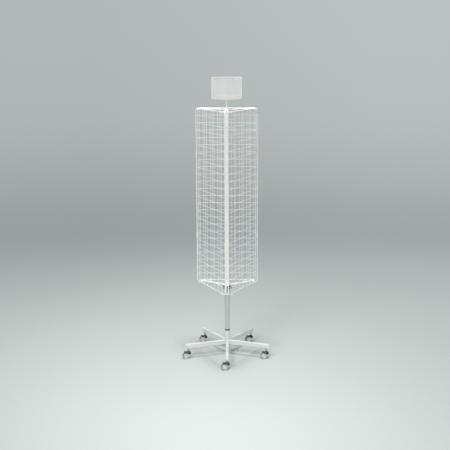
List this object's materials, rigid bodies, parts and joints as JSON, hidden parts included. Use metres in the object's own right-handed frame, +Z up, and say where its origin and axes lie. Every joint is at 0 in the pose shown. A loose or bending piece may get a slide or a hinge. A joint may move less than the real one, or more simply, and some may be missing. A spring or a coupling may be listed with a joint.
{
  "type": "rotating wire display rack",
  "caption": "Free-standing shop rack: a triangular tower of wire grid panels turns on a pole above a star base with swivel casters, with a small turning sign on top.",
  "frame": {"origin": "on the floor under the middle of the pole, with all wheels resting on z = 0", "axes": "+Z up along the pole, -Y towards the tower's front corner and the front base arm, +X to the right of somebody who looks along +Y"},
  "size_m": [0.5989, 0.5615, 1.9],
  "materials": {
    "white_steel": "white powder coat, semi-gloss",
    "white_plastic": "moulded, satin",
    "black_plastic": "moulded nylon, satin",
    "bright_steel": "zinc plated",
    "chrome": "polished plating",
    "grey_wheel": "non-marking grey rubber",
    "clear_acrylic": "clear, polished",
    "card": "matt card, blank"
  },
  "bodies": {
    "base": {"base_post": "white_steel", "post_plug": "black_plastic", "base_arm_1": "white_steel", "base_arm_2": "white_steel", "base_arm_3": "white_steel", "base_arm_4": "white_steel", "base_arm_5": "white_steel", "arm_end_caps": "white_plastic", "caster_sockets": "bright_steel", "caster_stems": "bright_steel", "joint_ring": "black_plastic", "spigot_tube": "bright_steel", "standing_tube": "chrome", "button_spring": "bright_steel", "thrust_seat": "black_plastic", "thrust_ball": "bright_steel", "lower_bush": "black_plastic", "upper_bush": "black_plastic"},
    "lock_button": {"lock_button": "chrome"},
    "tower": {"pole": "white_steel", "pole_foot": "black_plastic", "pole_cap": "white_plastic", "collar": "black_plastic", "lower_spider": "white_steel", "upper_spider": "white_steel", "hub_screws": "bright_steel", "panel_rear": "white_steel", "panel_left": "white_steel", "panel_right": "white_steel", "panel_clips": "white_plastic"},
    "knob_1": {"collar_knob_1": "black_plastic"},
    "knob_2": {"collar_knob_2": "black_plastic"},
    "knob_3": {"collar_knob_3": "black_plastic"},
    "sign": {"sign_stem": "white_steel", "sign_holder": "white_plastic", "sign_front_plate": "clear_acrylic", "sign_back_plate": "clear_acrylic", "sign_card": "card"},
    "caster_1": {"caster_1_hood": "black_plastic", "caster_1_axle": "bright_steel"},
    "caster_1_left": {"caster_1_wheel_left": "grey_wheel"},
    "caster_1_right": {"caster_1_wheel_right": "grey_wheel"},
    "caster_2": {"caster_2_hood": "black_plastic", "caster_2_axle": "bright_steel"},
    "caster_2_left": {"caster_2_wheel_left": "grey_wheel"},
    "caster_2_right": {"caster_2_wheel_right": "grey_wheel"},
    "caster_3": {"caster_3_hood": "black_plastic", "caster_3_axle": "bright_steel"},
    "caster_3_left": {"caster_3_wheel_left": "grey_wheel"},
    "caster_3_right": {"caster_3_wheel_right": "grey_wheel"},
    "caster_4": {"caster_4_hood": "black_plastic", "caster_4_axle": "bright_steel"},
    "caster_4_left": {"caster_4_wheel_left": "grey_wheel"},
    "caster_4_right": {"caster_4_wheel_right": "grey_wheel"},
    "caster_5": {"caster_5_hood": "black_plastic", "caster_5_axle": "bright_steel"},
    "caster_5_left": {"caster_5_wheel_left": "grey_wheel"},
    "caster_5_right": {"caster_5_wheel_right": "grey_wheel"}
  },
  "joints": [
    {"name": "button_press", "type": "slide", "parent": "base", "child": "lock_button", "axis": [-0.342, 0.9397, 0], "range_m": [0, 0.0036], "stiffness_N_per_m": 250, "springref_m": -0.002, "deforming": ["button_spring"]},
    {"name": "tower_turn", "type": "hinge", "parent": "base", "child": "tower", "pos_m": [0, 0, 0.49], "axis": [0, 0, 1], "continuous": true},
    {"name": "knob_1_turn", "type": "hinge", "parent": "tower", "child": "knob_1", "pos_m": [-0.02252, -0.013, 0.4805], "axis": [-0.866, -0.5, 0], "range_deg": [0, 180]},
    {"name": "knob_2_turn", "type": "hinge", "parent": "tower", "child": "knob_2", "pos_m": [0.02252, -0.013, 0.4805], "axis": [0.866, -0.5, 0], "range_deg": [0, 180]},
    {"name": "knob_3_turn", "type": "hinge", "parent": "tower", "child": "knob_3", "pos_m": [0, 0.026, 0.4805], "axis": [0, 1, 0], "range_deg": [0, 180]},
    {"name": "sign_turn", "type": "hinge", "parent": "tower", "child": "sign", "pos_m": [0, 0, 1.71], "axis": [0, 0, 1], "continuous": true},
    {"name": "caster_1_swivel", "type": "hinge", "parent": "base", "child": "caster_1", "pos_m": [0, -0.28, 0.042], "axis": [0, 0, 1], "continuous": true},
    {"name": "caster_1_roll_left", "type": "hinge", "parent": "caster_1", "child": "caster_1_left", "pos_m": [-0.01933, -0.2882, 0.02], "axis": [0.3907, -0.9205, 0], "continuous": true},
    {"name": "caster_1_roll_right", "type": "hinge", "parent": "caster_1", "child": "caster_1_right", "pos_m": [-0.01933, -0.2882, 0.02], "axis": [0.3907, -0.9205, 0], "continuous": true},
    {"name": "caster_2_swivel", "type": "hinge", "parent": "base", "child": "caster_2", "pos_m": [0.2663, -0.08653, 0.042], "axis": [0, 0, 1], "continuous": true},
    {"name": "caster_2_roll_left", "type": "hinge", "parent": "caster_2", "child": "caster_2_left", "pos_m": [0.24611, -0.09231, 0.02], "axis": [0.2756, -0.9613, 0], "continuous": true},
    {"name": "caster_2_roll_right", "type": "hinge", "parent": "caster_2", "child": "caster_2_right", "pos_m": [0.24611, -0.09231, 0.02], "axis": [0.2756, -0.9613, 0], "continuous": true},
    {"name": "caster_3_swivel", "type": "hinge", "parent": "base", "child": "caster_3", "pos_m": [0.16458, 0.22653, 0.042], "axis": [0, 0, 1], "continuous": true},
    {"name": "caster_3_roll_left", "type": "hinge", "parent": "caster_3", "child": "caster_3_left", "pos_m": [0.14511, 0.21866, 0.02], "axis": [0.3746, -0.9272, 0], "continuous": true},
    {"name": "caster_3_roll_right", "type": "hinge", "parent": "caster_3", "child": "caster_3_right", "pos_m": [0.14511, 0.21866, 0.02], "axis": [0.3746, -0.9272, 0], "continuous": true},
    {"name": "caster_4_swivel", "type": "hinge", "parent": "base", "child": "caster_4", "pos_m": [-0.16458, 0.22653, 0.042], "axis": [0, 0, 1], "continuous": true},
    {"name": "caster_4_roll_left", "type": "hinge", "parent": "caster_4", "child": "caster_4_left", "pos_m": [-0.18455, 0.22004, 0.02], "axis": [0.309, -0.9511, 0], "continuous": true},
    {"name": "caster_4_roll_right", "type": "hinge", "parent": "caster_4", "child": "caster_4_right", "pos_m": [-0.18455, 0.22004, 0.02], "axis": [0.309, -0.9511, 0], "continuous": true},
    {"name": "caster_5_swivel", "type": "hinge", "parent": "base", "child": "caster_5", "pos_m": [-0.2663, -0.08653, 0.042], "axis": [0, 0, 1], "continuous": true},
    {"name": "caster_5_roll_left", "type": "hinge", "parent": "caster_5", "child": "caster_5_left", "pos_m": [-0.28548, -0.09507, 0.02], "axis": [0.4067, -0.9135, 0], "continuous": true},
    {"name": "caster_5_roll_right", "type": "hinge", "parent": "caster_5", "child": "caster_5_right", "pos_m": [-0.28548, -0.09507, 0.02], "axis": [0.4067, -0.9135, 0], "continuous": true}
  ]
}
